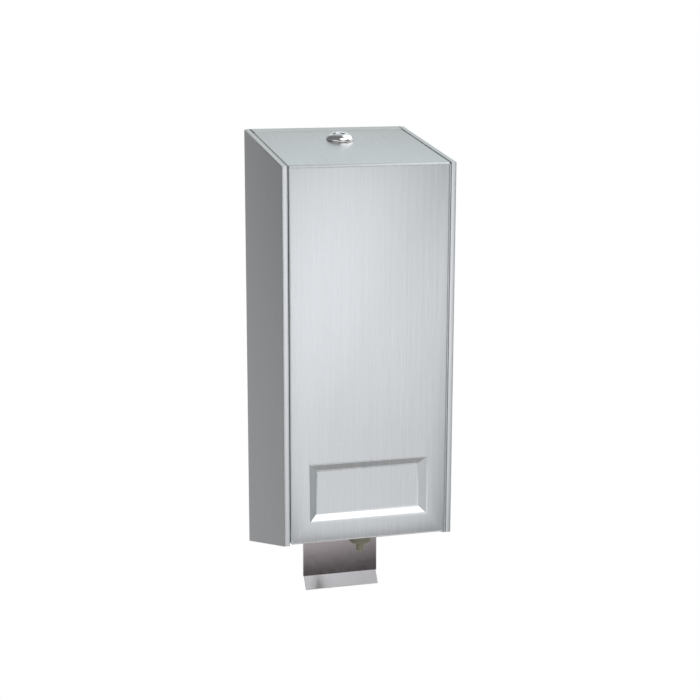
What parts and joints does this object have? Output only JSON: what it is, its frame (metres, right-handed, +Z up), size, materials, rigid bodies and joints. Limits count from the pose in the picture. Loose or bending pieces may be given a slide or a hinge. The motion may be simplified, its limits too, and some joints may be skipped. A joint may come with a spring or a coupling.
{
  "type": "wall mounted soap dispenser",
  "caption": "Wall mounted liquid soap dispenser: folded steel housing, lockable hinged cover over a refillable tank, and a piston pump worked by a push lever under the housing.",
  "frame": {"origin": "centre of the rear plate's back face, on the wall plane", "axes": "+Z up, +Y into the wall, +X to the right of a person facing the dispenser, whose front faces -Y"},
  "size_m": [0.115, 0.116, 0.3235],
  "materials": {
    "steel": "satin brushed",
    "zinc": "zinc plated",
    "chrome": "polished",
    "tank_pe": "translucent polyethylene",
    "cream": "satin",
    "grey_plastic": "satin",
    "white_plastic": "satin",
    "rubber_black": "matt",
    "silicone": "matt"
  },
  "bodies": {
    "housing": {"rear_plate": "steel", "left_side_panel": "steel", "right_side_panel": "steel", "bottom_plate": "steel", "strike_bracket": "zinc", "strike_screw_1": "zinc", "strike_screw_2": "zinc", "hinge_pin_left": "zinc", "hinge_pin_right": "zinc", "tank_shelf": "zinc", "shelf_screw_1": "zinc", "shelf_screw_2": "zinc", "pump_bracket": "zinc", "bracket_screw_1": "zinc", "bracket_screw_2": "zinc", "bracket_screw_3": "zinc", "bracket_screw_4": "zinc", "piston_spring": "zinc", "lever_pin": "zinc", "lever_clip_left": "zinc", "lever_clip_right": "zinc", "soap_tank": "tank_pe", "tank_top": "tank_pe", "nozzle": "cream", "tank_lid": "grey_plastic", "union_nut": "grey_plastic", "piston_gland": "grey_plastic", "pump_body": "white_plastic", "lever_bush_left": "white_plastic", "lever_bush_right": "white_plastic", "cover_pad_left": "rubber_black", "cover_pad_right": "rubber_black", "nozzle_seal": "rubber_black", "lid_seal": "silicone", "tank_seal": "silicone", "inlet_valve": "silicone", "outlet_valve": "silicone"},
    "cover": {"cover": "steel", "lock_body": "chrome", "lock_nut": "zinc", "lock_washer": "zinc"},
    "lock_core": {"lock_plug": "chrome", "lock_cam": "zinc", "cam_screw": "zinc"},
    "lever": {"push_lever": "steel"},
    "piston": {"piston": "grey_plastic", "piston_seal": "rubber_black"}
  },
  "joints": [
    {"name": "cover_hinge", "type": "hinge", "parent": "housing", "child": "cover", "pos_m": [0, -0.112, -0.10755], "axis": [1, 0, 0], "range_deg": [0, 95]},
    {"name": "lock_turn", "type": "hinge", "parent": "cover", "child": "lock_core", "pos_m": [0, -0.041, 0.14458], "axis": [0, -0.124, 0.9923], "range_deg": [0, 90]},
    {"name": "lever_push", "type": "hinge", "parent": "housing", "child": "lever", "pos_m": [0, -0.036, -0.09985], "axis": [1, 0, 0], "range_deg": [0, 15], "stiffness_Nm_per_rad": 1.6, "springref_deg": -10.31},
    {"name": "piston_slide", "type": "slide", "parent": "housing", "child": "piston", "axis": [0, -1, 0], "range_m": [0, 0.0046], "deforming": ["piston_spring"]}
  ],
  "couplings": [
    {"joint": "piston_slide", "follows": "lever_push", "m_per_rad": 0.0174}
  ]
}
